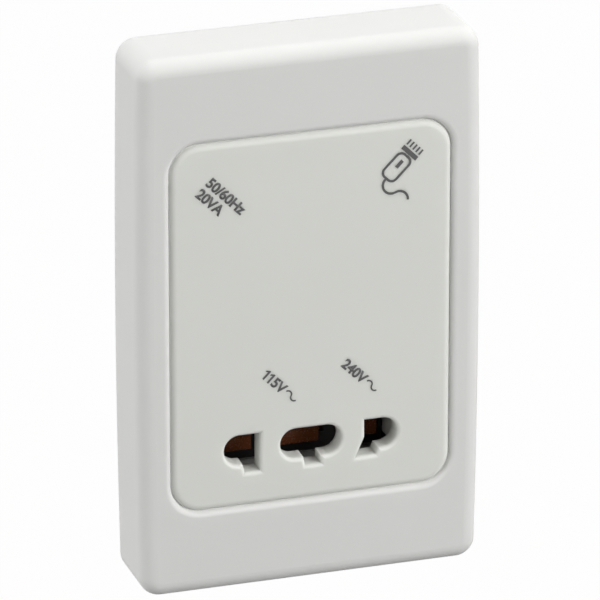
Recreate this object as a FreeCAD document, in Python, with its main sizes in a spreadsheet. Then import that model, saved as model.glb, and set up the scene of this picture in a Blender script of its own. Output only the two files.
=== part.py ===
import FreeCAD
import Part
import Sketcher
import math
import os
import re

# Shaver socket: a wall plate with a clip-on surround, an isolating transformer behind it and three
# pin apertures closed by a sprung shutter.
# Millimetres. X is to the right, Z is up, the wall is the plane Y = 0 and the front faces -Y.
# "Out" in the comments and names is the distance from the wall towards the room, so out = -Y.

doc = FreeCAD.newDocument("ShaverSocket")
sheet = doc.addObject("Spreadsheet::Sheet", "Sizes")

SIZES = (
    ("plate_width", 73.0, "surround, across its middle"),
    ("plate_height", 115.8, "surround, top to bottom"),
    ("plate_depth", 16.3, "surround, wall to front face"),
    ("plate_corner", 4.2, "corner radius seen from the front"),
    ("side_bow", 0.65, "how far the long sides bow outwards"),
    ("front_round", 3.3, "rounding of the front edge"),
    ("cover_wall", 2.2, "wall of the surround"),
    ("collar_wall", 1.6, "wall of the collar round the opening"),
    ("collar_depth", 6.5, "collar, front face to its back edge"),
    ("lip_round", 1.3, "rounding of the opening's lip"),
    ("rib_wall", 1.2, "stiffening ribs"),
    ("rib_spread", 17.0, "ribs, from the middle"),
    ("clip_height", 30.0, "clips, above and below the middle"),
    ("clip_width", 8.0, "clips, along the side"),
    ("clip_wall", 1.6, "stem of a clip"),
    ("clip_reach", 1.5, "hook of a clip"),
    ("clip_lift", 0.2, "hook of a clip, off the wall"),
    ("fit", 0.3, "clearance between pieces that go together"),
    ("panel_width", 59.4, "front panel"),
    ("panel_height", 79.35, "front panel"),
    ("panel_corner", 6.4, "front panel, corner radius"),
    ("panel_gap", 0.04, "gap between panel and surround"),
    ("panel_sink", 0.15, "panel, behind the surround's face"),
    ("panel_wall", 2.2, "front panel"),
    ("panel_round", 1.5, "rounding of the panel's edge"),
    ("skirt_wall", 1.6, "skirt of the panel"),
    ("skirt_depth", 8.0, "skirt, face to its back edge"),
    ("row_up", 12.275, "middle of the pin apertures, above the foot of the panel's face"),
    ("hole_height", 6.5, "pin apertures"),
    ("hole_depth", 4.2, "pin apertures, face to back of their shroud"),
    ("hole_taper", 1.0, "draft of the apertures, degrees"),
    ("hole_lip", 0.8, "rounding of the apertures' rims"),
    ("mid_share", 0.1103, "middle aperture, half its width as a share of the panel's width"),
    ("left_share", 0.1818, "left aperture's straight edge, a share of the panel's width"),
    ("right_share", 0.1919, "right aperture's straight edge, a share of the panel's width"),
    ("far_share", 0.3114, "outer apertures' round ends, a share of the panel's width"),
    ("slot_drop", 1.75, "blade slots, below the round holes"),
    ("slot_share", 0.0555, "blade slots' width, a share of the panel's width"),
    ("slot_lean", 0.45, "lean of a slot's left side"),
    ("slot_shift", 0.45, "middle blade slot, right of the centre"),
    ("slant_top", 0.5, "slanted slot's upper end, below the middle of the row"),
    ("slant_drop", 1.35, "slanted slot, below the round hole"),
    ("slant_lean", 1.75, "slanted slot, how far its foot lies to the left"),
    ("slant_width", 4.2, "slanted slot, along its foot"),
    ("shroud_wall", 2.0, "wall round the apertures"),
    ("ring_wall", 1.8, "raised ring of the grid plate"),
    ("flange_back", 1.2, "grid plate's flange, off the wall"),
    ("flange_wall", 2.4, "grid plate's flange"),
    ("cover_gap", 0.6, "grid plate's edge to the surround"),
    ("fix_spacing", 84.0, "fixing holes"),
    ("fix_hole", 4.0, "fixing holes, diameter"),
    ("fix_boss", 9.0, "bosses round the fixing holes, diameter"),
    ("shutter_depth", 10.7, "shutter's lower edge, behind the panel's face"),
    ("shutter_wall", 1.6, "shutter's plate"),
    ("shutter_margin", 1.4, "shutter, past the outer apertures"),
    ("shutter_drop", 4.7, "shutter's lower edge, below the middle of the apertures"),
    ("shutter_rise", 14.4, "shutter's upper edge, above the middle of the apertures"),
    ("shutter_travel", 7.5, "lift of the shutter"),
    ("ramp_low", 1.2, "ramps, front to back at their lower edge"),
    ("ramp_rise", 8.4, "ramps, height"),
    ("ramp_run", 3.8, "ramps, how far they lean out"),
    ("nose_height", 3.0, "upright foot of the ramps"),
    ("nose_round", 0.4, "rounding of the pads' lower edge"),
    ("pad_past", 1.2, "left pad, past its aperture's straight edge"),
    ("pad_lap", 1.05, "middle pad, past its aperture's left end"),
    ("pad_short", 1.65, "middle pad, short of its aperture's right end"),
    ("pad_lead", 1.8, "right pad, past its aperture's straight edge"),
    ("pad_rest", 1.1, "right pad, short of its aperture's round end"),
    ("rail_wall", 1.4, "shutter's guide rails"),
    ("rail_rise", 24.4, "guide rails' upper end, above the middle of the apertures"),
    ("rail_lip", 1.5, "lips that hold the shutter, reach"),
    ("spring_length", 18.0, "spring, as it is fitted"),
    ("spring_radius", 2.2, "spring, to the middle of the wire"),
    ("spring_wire", 0.5, "spring wire, diameter"),
    ("seat_half", 3.6, "spring seats, half their width"),
    ("seat_wall", 2.0, "spring seats"),
    ("peg_radius", 1.4, "pegs inside the spring"),
    ("peg_length", 3.0, "pegs inside the spring"),
    ("screw_inset", 4.6, "housing screws, in from the housing's side"),
    ("screw_rim", 5.6, "housing screws, in from the housing's top and foot"),
    ("post_radius", 2.3, "screw posts"),
    ("screw_radius", 1.2, "housing screws, shank"),
    ("head_radius", 2.4, "housing screws, head"),
    ("head_height", 1.8, "housing screws, head"),
    ("house_inset", 2.2, "rear housing, in from the panel's sides"),
    ("house_rim", 2.675, "rear housing, in from the panel's top and foot"),
    ("house_corner", 6.0, "rear housing"),
    ("house_depth", 38.0, "rear housing, wall to its back"),
    ("house_wall", 2.0, "rear housing"),
    ("step_depth", 24.0, "rear housing's shallow tray, wall to its back"),
    ("hump_foot", 17.0, "foot of the deep part, above the housing's foot"),
    ("hump_head", 9.7, "top of the deep part, below the housing's top"),
    ("hump_width", 47.0, "rear housing's deep part"),
    ("hump_corner", 4.0, "rear housing's deep part"),
    ("vent_width", 2.4, "vent slots"),
    ("vent_height", 26.0, "vent slots"),
    ("vent_pitch", 5.6, "vent slots"),
    ("carrier_rim", 0.5, "contact carrier, past the outer apertures"),
    ("carrier_rise", 5.8, "contact carrier, above the middle of the apertures"),
    ("carrier_drop", 7.0, "contact carrier, below the middle of the apertures"),
    ("carrier_depth", 14.0, "contact carrier, front to back"),
    ("carrier_wall", 1.5, "contact carrier"),
    ("ear_rise", 7.4, "carrier screws, above the middle of the apertures"),
    ("ear_wall", 2.4, "ears of the carrier"),
    ("ear_post", 2.0, "posts for the carrier, radius"),
    ("ear_half", 3.0, "ears of the carrier, half their height"),
    ("tap_radius", 0.9, "carrier screws, shank"),
    ("tap_length", 6.0, "carrier screws, shank's length"),
    ("tap_head", 1.8, "carrier screws, head"),
    ("strip", 0.5, "contact strip, thickness"),
    ("throat", 3.4, "gap between a contact's leaves"),
    ("mouth", 6.6, "contact's mouth, over the leaves"),
    ("contact_length", 10.5, "contacts, front to back"),
    ("pinch_depth", 3.2, "contact's narrowest place, behind its mouth"),
    ("tag_width", 3.0, "solder tags"),
    ("tag_length", 5.0, "solder tags, beyond the carrier"),
    ("core_gap", 0.7, "core clamp to the housing"),
    ("core_stack", 17.0, "core, front to back"),
    ("back_gap", 1.2, "bobbin to the housing's back"),
    ("bobbin_wall", 1.0, "bobbin"),
    ("bobbin_gap", 0.4, "bobbin's cheeks to the core's legs"),
    ("coil_inset", 1.0, "windings, in from the cheeks"),
    ("clamp_wall", 0.8, "core clamp"),
    ("foot_gap", 3.5, "clamp's feet, behind the core"),
    ("foot_height", 7.4, "clamp's feet"),
    ("foot_width", 9.0, "clamp's feet"),
    ("cutout_width", 11.0, "thermal cut-out"),
    ("cutout_height", 15.0, "thermal cut-out"),
    ("cutout_wall", 3.6, "thermal cut-out, thickness"),
    ("cutout_tag", 2.0, "thermal cut-out, width of its tags"),
    ("terminal_x", 9.0, "terminals, from the middle"),
    ("terminal_width", 7.0, "terminals"),
    ("terminal_height", 9.0, "terminals"),
    ("terminal_depth", 8.0, "terminals, front to back"),
    ("terminal_up", 8.4, "middle of the terminals, above the housing's foot"),
    ("terminal_bore", 2.0, "terminals, radius of the wire hole"),
    ("terminal_screw", 1.5, "terminal screws, radius"),
    ("pocket_wall", 1.6, "walls round the terminals"),
    ("pocket_depth", 10.0, "walls round the terminals"),
)
for row, (alias, size, meaning) in enumerate(SIZES, start=1):
    sheet.set("A%d" % row, alias)
    sheet.set("B%d" % row, repr(size))
    sheet.setAlias("B%d" % row, alias)
    sheet.set("C%d" % row, meaning)
doc.recompute()

# Sizes that follow from others. Heights named low, top, row or z count down from the centre,
# except the tops of the spring and of the housing's deep part, which count up.
DERIVED = {
    "hole_row": "(panel_height/2 - row_up)",
    "slot_width": "(slot_share*panel_width)",
    "shutter_low": "(hole_row + shutter_drop)",
    "shutter_top": "(hole_row - shutter_rise)",
    "rail_top": "(hole_row - rail_rise)",
    "spring_top": "(spring_length - shutter_top)",
    "carrier_top": "(hole_row - carrier_rise)",
    "carrier_low": "(hole_row + carrier_drop)",
    "ear_z": "(hole_row - ear_rise)",
    "house_height": "(panel_height - 2*house_rim)",
    "screw_z": "(house_height/2 - screw_rim)",
    "step_height": "(house_height/2 - hump_foot)",
    "hump_top": "(house_height/2 - hump_head)",
    "terminal_z": "(house_height/2 - terminal_up)",
}
ALIASES = {alias for alias, size, meaning in SIZES}
NODES = []
SPRING_TURNS = 5
WIRE_SIDES = 8
CLOSE = 1e-4


# Helpers: expressions

def bound(text):
    """The expression with derived sizes written out and each size's name led back to its cell."""
    def led_back(word):
        name = word[0]
        if name in DERIVED:
            return bound(DERIVED[name])
        return "Sizes." + name if name in ALIASES else name
    return re.sub(r"[a-z][a-z_]*", led_back, text)


def number(text):
    """The expression's value now."""
    result = sheet.evalExpression(bound(text))
    return float(getattr(result, "Value", result))


def tie(item, **expressions):
    """Bind properties of an object; a double underscore in a name stands for a dot."""
    for name, text in expressions.items():
        item.setExpression(name.replace("__", "."), bound(text))


# Helpers: sketches and features of a body

def new_body(label):
    body = doc.addObject("PartDesign::Body", label)
    body.Label = label
    NODES.append(body)
    return body


def sketch(body, name, out="0", plane="XZ_Plane"):
    """A sketch on one of the body's own planes, moved along that plane's normal.
    On XZ the normal points out from the wall, on YZ to the right, on XY up."""
    support = [item for item in body.Origin.OriginFeatures if item.Role == plane][0]
    drawing = body.newObject("Sketcher::SketchObject", name)
    drawing.AttachmentSupport = (support, [""])
    drawing.MapMode = "FlatFace"
    tie(drawing, AttachmentOffset__Base__z=out)
    return drawing


def pin(drawing, geometry, position, x, y):
    """Fix one point of a sketch's geometry to two expressions."""
    for kind, text in (("DistanceX", x), ("DistanceY", y)):
        index = drawing.addConstraint(Sketcher.Constraint(kind, -1, 1, geometry, position, number(text)))
        drawing.setExpression("Constraints[%d]" % index, bound(text))


def outline(drawing, corners):
    """A closed outline, anticlockwise. A corner is (x, y), or (x, y, radius) where the stretch
    to the next corner is an arc that bulges outwards."""
    first = drawing.GeometryCount
    count = len(corners)
    for index, corner in enumerate(corners):
        after = corners[(index + 1) % count]
        start = FreeCAD.Vector(number(corner[0]), number(corner[1]))
        end = FreeCAD.Vector(number(after[0]), number(after[1]))
        if len(corner) == 2:
            drawing.addGeometry(Part.LineSegment(start, end))
            continue
        radius = number(corner[2])
        chord = end - start
        left = FreeCAD.Vector(-chord.y, chord.x).normalize()
        centre = (start + end) / 2 + left * math.sqrt(max(radius ** 2 - chord.Length ** 2 / 4, 0))
        angles = [math.atan2(point.y - centre.y, point.x - centre.x) for point in (start, end)]
        circle = Part.Circle(centre, FreeCAD.Vector(0, 0, 1), radius)
        drawing.addGeometry(Part.ArcOfCircle(circle, *angles))
    for index, corner in enumerate(corners):
        this = first + index
        that = first + (index + 1) % count
        drawing.addConstraint(Sketcher.Constraint("Coincident", this, 2, that, 1))
        pin(drawing, this, 1, corner[0], corner[1])
        if len(corner) == 3:
            place = drawing.addConstraint(Sketcher.Constraint("Radius", this, number(corner[2])))
            drawing.setExpression("Constraints[%d]" % place, bound(corner[2]))


def ring(drawing, x, y, radius):
    """A full circle."""
    centre = FreeCAD.Vector(number(x), number(y))
    circle = Part.Circle(centre, FreeCAD.Vector(0, 0, 1), number(radius))
    index = drawing.addGeometry(circle)
    pin(drawing, index, 3, x, y)
    place = drawing.addConstraint(Sketcher.Constraint("Radius", index, number(radius)))
    drawing.setExpression("Constraints[%d]" % place, bound(radius))


def rectangle(drawing, left, right, low, high):
    outline(drawing, [(left, low), (right, low), (right, high), (left, high)])


def rounded(drawing, width, height, corner, middle="0"):
    """A rectangle with round corners, about a point on the sketch's upright axis."""
    x, inner_x = "(%s/2)" % width, "(%s/2 - %s)" % (width, corner)
    low, high = "(%s - %s/2)" % (middle, height), "(%s + %s/2)" % (middle, height)
    inner_low, inner_high = "(%s + %s)" % (low, corner), "(%s - %s)" % (high, corner)
    outline(drawing, [
        ("-" + inner_x, low), (inner_x, low, corner), (x, inner_low), (x, inner_high, corner),
        (inner_x, high), ("-" + inner_x, high, corner), ("-" + x, inner_high), ("-" + x, inner_low, corner)])


def feature(body, kind, name, drawing, length, **settings):
    """A pad or a pocket of a sketch. A pad grows along the sketch's normal, a pocket cuts against it."""
    before = body.Shape.Volume if body.Tip and kind == "Pocket" else 0.0
    item = body.newObject("PartDesign::" + kind, name)
    item.Profile = drawing
    tie(item, Length=length, **settings)
    doc.recompute()
    if kind == "Pocket" and not item.Shape.Volume < before - CLOSE:
        raise RuntimeError(name + " cuts nothing")
    return item


def pad(body, name, drawing, length, **settings):
    return feature(body, "Pad", name, drawing, length, **settings)


def pocket(body, name, drawing, length, **settings):
    return feature(body, "Pocket", name, drawing, length, **settings)


def fillet(body, name, base, radius, chosen):
    """Round the edges of a feature for which chosen(edge) is true."""
    edges = ["Edge%d" % (i + 1) for i, edge in enumerate(base.Shape.Edges) if chosen(edge)]
    item = body.newObject("PartDesign::Fillet", name)
    item.Base = (base, edges)
    tie(item, Radius=radius)
    doc.recompute()
    return item


def lies_out(text):
    """A test for edges that lie flat at this distance from the wall."""
    place = -number(text)
    return lambda edge: max(abs(edge.BoundBox.YMin - place), abs(edge.BoundBox.YMax - place)) < CLOSE


# Helpers: primitives

def block(name, x, y, z):
    """A box from three (low, high) pairs of expressions."""
    item = doc.addObject("Part::Box", name)
    for prop, axis, (low, high) in zip(("Length", "Width", "Height"), "xyz", (x, y, z)):
        tie(item, **{prop: "(%s) - (%s)" % (high, low), "Placement__Base__" + axis: low})
    return item


TURNS = {"x": FreeCAD.Rotation(FreeCAD.Vector(0, 1, 0), 90),
         "y": FreeCAD.Rotation(FreeCAD.Vector(1, 0, 0), -90),
         "z": FreeCAD.Rotation()}


def rod(name, axis, start, radius, length):
    """A cylinder along X, Y or Z from the point where it starts."""
    item = doc.addObject("Part::Cylinder", name)
    item.Placement = FreeCAD.Placement(FreeCAD.Vector(), TURNS[axis])
    tie(item, Radius=radius, Height=length)
    for letter, text in zip("xyz", start):
        tie(item, **{"Placement__Base__" + letter: text})
    return item


def fused(label, pieces, node=True):
    item = doc.addObject("Part::MultiFuse", label)
    item.Label = label
    item.Shapes = pieces
    item.Refine = True
    if node:
        NODES.append(item)
    return item


def cut(label, base, tools, node=True):
    tool = tools[0] if len(tools) == 1 else fused(label + "_tools", tools, node=False)
    item = doc.addObject("Part::Cut", label)
    item.Label = label
    item.Base = base
    item.Tool = tool
    item.Refine = True
    if node:
        NODES.append(item)
    return item


# Places that several pieces share, as expressions

def grown(shape, amount):
    """Width, height and corner radius of a rounded rectangle, moved outwards all round."""
    width, height, corner = shape
    return ("(%s + 2*(%s))" % (width, amount), "(%s + 2*(%s))" % (height, amount),
            "(%s + (%s))" % (corner, amount))


PANEL = ("panel_width", "panel_height", "panel_corner")
OPENING = grown(PANEL, "panel_gap")
RING_OUTER = grown(PANEL, "-skirt_wall - fit")
WELL = grown(RING_OUTER, "-ring_wall")
HOUSE = ("(panel_width - 2*house_inset)", "house_height", "house_corner")
HUMP = ("hump_width", "(hump_top + step_height)", "hump_corner")
PANEL_FRONT = "(plate_depth - panel_sink)"
PANEL_BACK = "(%s - panel_wall)" % PANEL_FRONT
SHROUD_BACK = "(%s - hole_depth)" % PANEL_FRONT
SHUTTER_FRONT = "(%s - shutter_depth)" % PANEL_FRONT
SHUTTER_BACK = "(%s - ramp_low)" % SHUTTER_FRONT
CARRIER_FRONT = "(%s - fit)" % SHUTTER_BACK
CARRIER_BACK = "(%s - carrier_depth)" % CARRIER_FRONT
SHOULDER = "(ramp_rise - shutter_low + shutter_wall)"
SPRING_OUT = "(%s + spring_radius + spring_wire/2)" % SHUTTER_BACK
HOLE_TOP = "(hole_height/2 - hole_row)"
HOLE_LOW = "(-hole_height/2 - hole_row)"
SLOT_LOW = "(-hole_height/2 - hole_row - slot_drop)"
MID_HALF = "(mid_share*panel_width)"
LEFT_NEAR = "(left_share*panel_width)"
RIGHT_NEAR = "(right_share*panel_width)"
SIDE_FAR = "(far_share*panel_width)"
SHUTTER_HALF = "(%s + shutter_margin)" % SIDE_FAR
CARRIER_HALF = "(%s + carrier_rim)" % SIDE_FAR
EAR_X = "(%s + fit + ear_post)" % SHUTTER_HALF
SCREW_X = "(%s/2 - screw_inset)" % HOUSE[0]
CORE_WIDTH = "(hump_width - 2*house_wall - 2*core_gap - 2*clamp_wall)"
CORE_HEIGHT = "(5*%s/6)" % CORE_WIDTH
LEG = "(%s/6)" % CORE_WIDTH
BOBBIN_X = "(%s/2 - %s - bobbin_gap)" % (CORE_WIDTH, LEG)
BOBBIN_Y = "(core_stack/2 + %s - bobbin_gap)" % LEG
CORE_Y = "(house_depth - house_wall - back_gap - %s)" % BOBBIN_Y
CORE_Z = "((hump_top - step_height)/2)"
CORE_LOW = "(%s - %s/2)" % (CORE_Z, CORE_HEIGHT)
CORE_TOP = "(%s + %s/2)" % (CORE_Z, CORE_HEIGHT)
CORE_FRONT = "(%s - core_stack/2)" % CORE_Y
WINDOW_LOW = "(%s + %s)" % (CORE_LOW, LEG)
WINDOW_HIGH = "(%s - %s)" % (CORE_TOP, LEG)
FOOT_X = "(%s/2 + clamp_wall - foot_width/2)" % CORE_WIDTH
FOOT_Y = "(%s + core_stack + foot_gap)" % CORE_FRONT
FOOT_LOW = "(step_height - house_wall - core_gap)"
FOOT_Z = "(foot_height/2 - %s)" % FOOT_LOW
CORNERS = [(x, z) for x in ("-", "") for z in ("-", "")]


def plate_outline(inset):
    """The surround's outline moved inwards: long sides bowed, corners tangent to them."""
    bow = "(plate_height^2/(8*side_bow) + side_bow/2)"
    bow_x = "(plate_width/2 - %s)" % bow
    corner_z = "(plate_height/2 - plate_corner)"
    span = "(%s - plate_corner)" % bow
    reach = "sqrt(%s^2 - %s^2)" % (span, corner_z)
    corner_x = "(%s + %s)" % (bow_x, reach)
    side_radius = "(%s - (%s))" % (bow, inset)
    corner_radius = "(plate_corner - (%s))" % inset
    side_x = "(%s + %s*%s/%s)" % (bow_x, reach, side_radius, span)
    side_z = "(%s*%s/%s)" % (corner_z, side_radius, span)
    end_z = "(plate_height/2 - (%s))" % inset
    return [
        ("-" + corner_x, "-" + end_z), (corner_x, "-" + end_z, corner_radius),
        (side_x, "-" + side_z, side_radius), (side_x, side_z, corner_radius),
        (corner_x, end_z), ("-" + corner_x, end_z, corner_radius),
        ("-" + side_x, side_z, side_radius), ("-" + side_x, "-" + side_z, corner_radius)]


# Surround: a shell open at the back, with a collar round the panel, ribs and four clips

def cover_surround():
    body = new_body("cover_surround")
    drawing = sketch(body, "CoverOutline")
    outline(drawing, plate_outline("0"))
    shell = pad(body, "CoverBlock", drawing, "plate_depth")
    shell = fillet(body, "CoverRound", shell, "front_round", lies_out("plate_depth"))

    drawing = sketch(body, "CoverHollow", "plate_depth - cover_wall")
    outline(drawing, plate_outline("cover_wall"))
    shell = pocket(body, "CoverCavity", drawing, "plate_depth")
    inside = lies_out("plate_depth - cover_wall")
    fillet(body, "CoverInnerRound", shell, "front_round - cover_wall", inside)

    drawing = sketch(body, "CollarOutline", "plate_depth - collar_depth")
    rounded(drawing, *grown(OPENING, "collar_wall"))
    pad(body, "Collar", drawing, "collar_depth - cover_wall/2")

    rib_inner = "(%s/2 + collar_wall/2)" % OPENING[1]
    drawing = sketch(body, "RibOutline", "plate_depth - collar_depth")
    for side in ("-", ""):
        left = "%srib_spread - rib_wall/2" % side
        right = "%srib_spread + rib_wall/2" % side
        rectangle(drawing, left, right, rib_inner, "plate_height/2 - cover_wall/2")
        rectangle(drawing, left, right, "-plate_height/2 + cover_wall/2", "-" + rib_inner)
    pad(body, "Ribs", drawing, "collar_depth - cover_wall/2")

    drawing = sketch(body, "OpeningOutline", "plate_depth")
    rounded(drawing, *OPENING)
    shell = pocket(body, "Opening", drawing, "plate_depth")
    half = number(OPENING[1]) / 2 + CLOSE
    front = lies_out("plate_depth")
    fillet(body, "OpeningLip", shell, "lip_round",
           lambda edge: front(edge) and max(abs(edge.BoundBox.ZMin), abs(edge.BoundBox.ZMax)) < half)

    stem_in = "(plate_width/2 - cover_wall - clip_wall)"
    drawing = sketch(body, "ClipStems", "clip_lift")
    hooks = sketch(body, "ClipHooks", "clip_lift")
    for side in ("-", ""):
        low = "%sclip_height - clip_width/2" % side
        high = "%sclip_height + clip_width/2" % side
        rectangle(drawing, stem_in, "plate_width/2 - cover_wall/2", low, high)
        rectangle(drawing, "-plate_width/2 + cover_wall/2", "-" + stem_in, low, high)
        rectangle(hooks, stem_in + " - clip_reach", "plate_width/2 - cover_wall", low, high)
        rectangle(hooks, "-plate_width/2 + cover_wall", "-%s + clip_reach" % stem_in, low, high)
    pad(body, "Clips", drawing, "plate_depth - cover_wall - clip_lift")
    pad(body, "Hooks", hooks, "flange_back - clip_lift")


# Grid plate: the flange that is screwed to the wall box, with a raised ring that carries the panel

def grid_plate():
    body = new_body("grid_plate")
    drawing = sketch(body, "FlangeOutline", "flange_back")
    outline(drawing, plate_outline("cover_wall + cover_gap"))
    pad(body, "Flange", drawing, "flange_wall")

    drawing = sketch(body, "RingOutline", "flange_back")
    rounded(drawing, *RING_OUTER)
    pad(body, "Ring", drawing, "%s - flange_back" % PANEL_BACK)

    drawing = sketch(body, "BossOutline")
    for side in ("-", ""):
        ring(drawing, "0", side + "fix_spacing/2", "fix_boss/2")
    pad(body, "FixingBosses", drawing, "flange_back + flange_wall")

    drawing = sketch(body, "WellOutline", PANEL_BACK)
    rounded(drawing, *WELL)
    pocket(body, "Well", drawing, PANEL_BACK)

    drawing = sketch(body, "FixingOutline", "flange_back + flange_wall")
    for side in ("-", ""):
        ring(drawing, "0", side + "fix_spacing/2", "fix_hole/2")
    pocket(body, "FixingHoles", drawing, "flange_back + flange_wall")

    near = "(plate_width/2 - cover_wall - clip_wall - fit)"
    drawing = sketch(body, "NotchOutline", "flange_back + flange_wall")
    for side in ("-", ""):
        low = "%sclip_height - clip_width/2 - fit" % side
        high = "%sclip_height + clip_width/2 + fit" % side
        rectangle(drawing, near, "plate_width/2", low, high)
        rectangle(drawing, "-plate_width/2", "-" + near, low, high)
    pocket(body, "ClipNotches", drawing, "flange_back + flange_wall")


# Front panel: the face with the three apertures; behind it the shroud, rails, posts and spring stop

def side_aperture(drawing):
    """Left: a round pin hole cut straight on its right, with an upright blade slot below it."""
    far, near, half = "-" + SIDE_FAR, "-" + LEFT_NEAR, "(hole_height/2)"
    turn = "(%s + hole_height/2)" % far
    outline(drawing, [
        (far, "-hole_row", half), (turn, HOLE_LOW), (near + " - slot_width - slot_lean", HOLE_LOW),
        (near + " - slot_width", SLOT_LOW), (near, SLOT_LOW), (near, HOLE_TOP), (turn, HOLE_TOP, half)])


def middle_aperture(drawing):
    """Middle: a long round-ended hole that both voltages share, with a blade slot below it."""
    half, end = "(hole_height/2)", "(%s - hole_height/2)" % MID_HALF
    left, right = "(slot_shift - slot_width/2)", "(slot_shift + slot_width/2)"
    outline(drawing, [
        ("-" + MID_HALF, "-hole_row", half), ("-" + end, HOLE_LOW), (left + " - slot_lean", HOLE_LOW),
        (left, SLOT_LOW), (right, SLOT_LOW), (right, HOLE_LOW), (end, HOLE_LOW, half),
        (MID_HALF, "-hole_row", half), (end, HOLE_TOP), ("-" + end, HOLE_TOP, half)])


def slanted_aperture(drawing):
    """Right: a round pin hole cut straight on its left, with a slot that leans down to the left."""
    far, near, half = SIDE_FAR, RIGHT_NEAR, "(hole_height/2)"
    turn = "(%s - hole_height/2)" % far
    top, low = "(-hole_row - slant_top)", "(%s - slant_drop)" % HOLE_LOW
    left = "(%s - slant_lean)" % near
    right = "(%s + slant_width)" % left
    meets = "(%s + slant_lean*slant_drop/(%s - %s))" % (right, top, low)
    outline(drawing, [
        (near, HOLE_TOP), (near, top), (left, low), (right, low), (meets, HOLE_LOW), (turn, HOLE_LOW, half),
        (far, "-hole_row", half), (turn, HOLE_TOP)])


def front_panel():
    body = new_body("front_panel")
    drawing = sketch(body, "PanelOutline", "%s - skirt_depth" % PANEL_FRONT)
    rounded(drawing, *PANEL)
    face = pad(body, "PanelBlock", drawing, "skirt_depth")
    front = lies_out(PANEL_FRONT)
    fillet(body, "PanelRound", face, "panel_round", front)

    drawing = sketch(body, "SkirtInside", PANEL_BACK)
    rounded(drawing, *grown(PANEL, "-skirt_wall"))
    pocket(body, "SkirtHollow", drawing, "skirt_depth")

    drawing = sketch(body, "ShroudOutline", SHROUD_BACK)
    rectangle(drawing, "-%s - shroud_wall" % SIDE_FAR, SIDE_FAR + " + shroud_wall",
              SLOT_LOW + " - shroud_wall", HOLE_TOP + " + shroud_wall")
    pad(body, "Shroud", drawing, "hole_depth - panel_wall/2")

    for name, draw in (("Left", side_aperture), ("Middle", middle_aperture), ("Right", slanted_aperture)):
        drawing = sketch(body, name + "Aperture", PANEL_FRONT)
        draw(drawing)
        holes = pocket(body, name + "Hole", drawing, "hole_depth + fit", TaperAngle="-hole_taper")
    reach = number(SIDE_FAR) + CLOSE
    fillet(body, "ApertureRims", holes, "hole_lip",
           lambda edge: front(edge) and max(abs(edge.BoundBox.XMin), abs(edge.BoundBox.XMax)) < reach)

    inner, outer = "(%s + fit)" % SHUTTER_HALF, "(%s + fit + rail_wall)" % SHUTTER_HALF
    ledge, ledge_in = "(%s - fit)" % SHOULDER, "(%s + 2*fit)" % SIDE_FAR
    drawing = sketch(body, "RailOutline", CARRIER_FRONT)
    rail = [(ledge_in, "-shutter_low"), (outer, "-shutter_low"), (outer, "-rail_top"), (inner, "-rail_top"),
            (inner, ledge), (ledge_in, ledge)]
    outline(drawing, rail)
    outline(drawing, [("-" + x, z) for x, z in rail[::-1]])
    lips = sketch(body, "LipOutline", "%s - rail_lip" % CARRIER_FRONT)
    lip_in, lip_low = "(%s - rail_lip)" % SHUTTER_HALF, "(-ear_z + ear_half + fit)"
    rectangle(lips, lip_in, outer, lip_low, "-rail_top")
    rectangle(lips, "-" + outer, "-" + lip_in, lip_low, "-rail_top")
    pad(body, "Rails", drawing, "%s - %s + panel_wall/2" % (PANEL_BACK, CARRIER_FRONT))
    pad(body, "RailLips", lips, "rail_lip")

    drawing = sketch(body, "PostOutline", "flange_back")
    for x, z in CORNERS:
        ring(drawing, x + SCREW_X, z + "screw_z", "post_radius")
    pad(body, "ScrewPosts", drawing, "%s - flange_back + panel_wall/2" % PANEL_BACK)
    drawing = sketch(body, "PostBores", "%s - panel_wall/2" % PANEL_BACK)
    for x, z in CORNERS:
        ring(drawing, x + SCREW_X, z + "screw_z", "screw_radius")
    pocket(body, "ScrewBores", drawing, PANEL_BACK)

    drawing = sketch(body, "EarPostOutline", CARRIER_FRONT)
    for side in ("-", ""):
        ring(drawing, side + EAR_X, "-ear_z", "ear_post")
    pad(body, "EarPosts", drawing, "%s - %s + panel_wall/2" % (PANEL_BACK, CARRIER_FRONT))
    drawing = sketch(body, "EarBores", "%s + tap_length" % CARRIER_FRONT)
    for side in ("-", ""):
        ring(drawing, side + EAR_X, "-ear_z", "tap_radius")
    pocket(body, "TapBores", drawing, "tap_length + carrier_depth")

    drawing = sketch(body, "StopOutline", SHUTTER_BACK)
    rectangle(drawing, "-seat_half", "seat_half", "spring_top", "spring_top + seat_wall")
    pad(body, "SpringStop", drawing, "%s - %s + panel_wall/2" % (PANEL_BACK, SHUTTER_BACK))
    drawing = sketch(body, "StopPegOutline", "spring_top - peg_length", "XY_Plane")
    ring(drawing, "0", "-" + SPRING_OUT, "peg_radius")
    pad(body, "StopPeg", drawing, "peg_length + seat_wall/2")


# Shutter: one slide with three ramped pads; pins that push on the ramps lift it against the spring

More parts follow.
